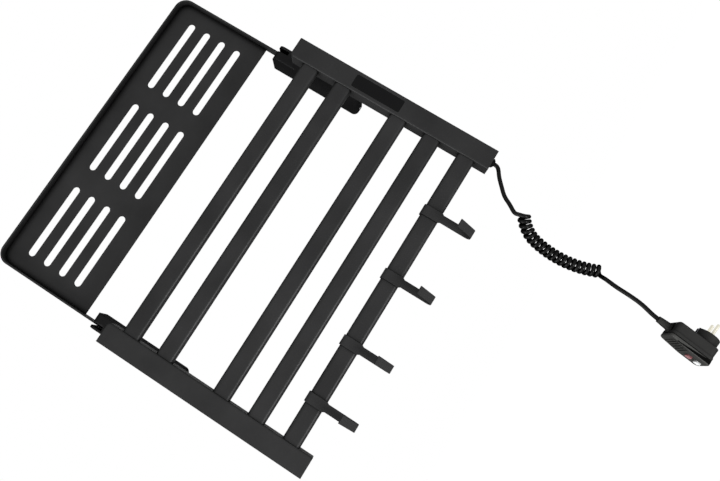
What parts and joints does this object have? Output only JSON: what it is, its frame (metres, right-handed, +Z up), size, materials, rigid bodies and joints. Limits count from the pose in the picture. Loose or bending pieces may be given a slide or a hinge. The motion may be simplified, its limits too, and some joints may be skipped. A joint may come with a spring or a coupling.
{
  "type": "heated towel rail",
  "caption": "Wall-mounted electric towel rail with flat heated bars, a fold-up slotted shelf, sliding hooks, a touch panel and a curly mains cord with a breaker plug.",
  "frame": {"origin": "middle of the four wall screw holes, on the wall plane", "axes": "+X to the right seen from the room, +Y into the wall, +Z up"},
  "size_m": [0.576, 0.1684, 1.0374],
  "materials": {
    "black_coat": "satin black powder coat",
    "bracket_coat": "matt black coat on cast aluminium",
    "steel": "zinc plated",
    "fitting_nylon": "moulded nylon",
    "cable_silicone": "silicone sheath",
    "panel_gloss": "gloss black window",
    "circuit_board": "populated board",
    "brass": "bare brass",
    "gland_black": "moulded nylon",
    "cord_black": "matt black sheath",
    "plug_black": "fine textured moulding",
    "plated_contact": "nickel plated brass",
    "button_red": "moulded",
    "button_grey": "moulded"
  },
  "bodies": {
    "frame": {"bar_end_fittings": "fitting_nylon", "bar_screws": "steel", "bracket_screws": "steel", "cable_gland": "gland_black", "control_board": "circuit_board", "cord_curl": "cord_black", "cord_lead_lower": "cord_black", "cord_lead_upper": "cord_black", "cover_screws": "steel", "current_sensor": "circuit_board", "earth_stud": "brass", "gland_nut": "gland_black", "heater_harness": "cable_silicone", "heating_bar_1": "black_coat", "heating_bar_2": "black_coat", "heating_bar_3": "black_coat", "heating_bar_4": "black_coat", "heating_bar_5": "black_coat", "heating_cable_1": "cable_silicone", "heating_cable_2": "cable_silicone", "heating_cable_3": "cable_silicone", "heating_cable_4": "cable_silicone", "heating_cable_5": "cable_silicone", "left_hinge_pin": "steel", "left_rail": "black_coat", "left_rail_cover": "black_coat", "left_wall_bracket": "bracket_coat", "left_wall_plate": "steel", "mains_leads": "cable_silicone", "plate_lock_screws": "steel", "plug_earth_clips": "plated_contact", "plug_front_shell": "plug_black", "plug_pins": "plated_contact", "plug_rear_shell": "plug_black", "plug_screws": "steel", "plug_strain_relief": "cord_black", "rcd_board": "circuit_board", "right_hinge_pin": "steel", "right_rail": "black_coat", "right_rail_cover": "black_coat", "right_wall_bracket": "bracket_coat", "right_wall_plate": "steel", "touch_panel": "panel_gloss"},
    "shelf": {"shelf_rim": "black_coat", "shelf_plate": "black_coat", "hinge_washers": "fitting_nylon"},
    "hook_1": {"hook_1": "black_coat"},
    "hook_2": {"hook_2": "black_coat"},
    "hook_3": {"hook_3": "black_coat"},
    "hook_4": {"hook_4": "black_coat"},
    "test_button": {"test_button": "button_red"},
    "reset_button": {"reset_button": "button_grey"}
  },
  "joints": [
    {"name": "shelf_fold", "type": "hinge", "parent": "frame", "child": "shelf", "pos_m": [0, -0.021, 0.096], "axis": [1, 0, 0], "range_deg": [0, 90]},
    {"name": "hook_1_slide", "type": "slide", "parent": "frame", "child": "hook_1", "axis": [1, 0, 0], "range_m": [-0.03, 0.03]},
    {"name": "hook_2_slide", "type": "slide", "parent": "frame", "child": "hook_2", "axis": [1, 0, 0], "range_m": [-0.03, 0.03]},
    {"name": "hook_3_slide", "type": "slide", "parent": "frame", "child": "hook_3", "axis": [1, 0, 0], "range_m": [-0.03, 0.03]},
    {"name": "hook_4_slide", "type": "slide", "parent": "frame", "child": "hook_4", "axis": [1, 0, 0], "range_m": [-0.03, 0.03]},
    {"name": "test_press", "type": "slide", "parent": "frame", "child": "test_button", "axis": [0.9924, -0.0175, -0.1219], "range_m": [0, 0.001], "stiffness_N_per_m": 1500, "springref_m": -0.001},
    {"name": "reset_press", "type": "slide", "parent": "frame", "child": "reset_button", "axis": [0.9924, -0.0175, -0.1219], "range_m": [0, 0.001], "stiffness_N_per_m": 1500, "springref_m": -0.001}
  ]
}
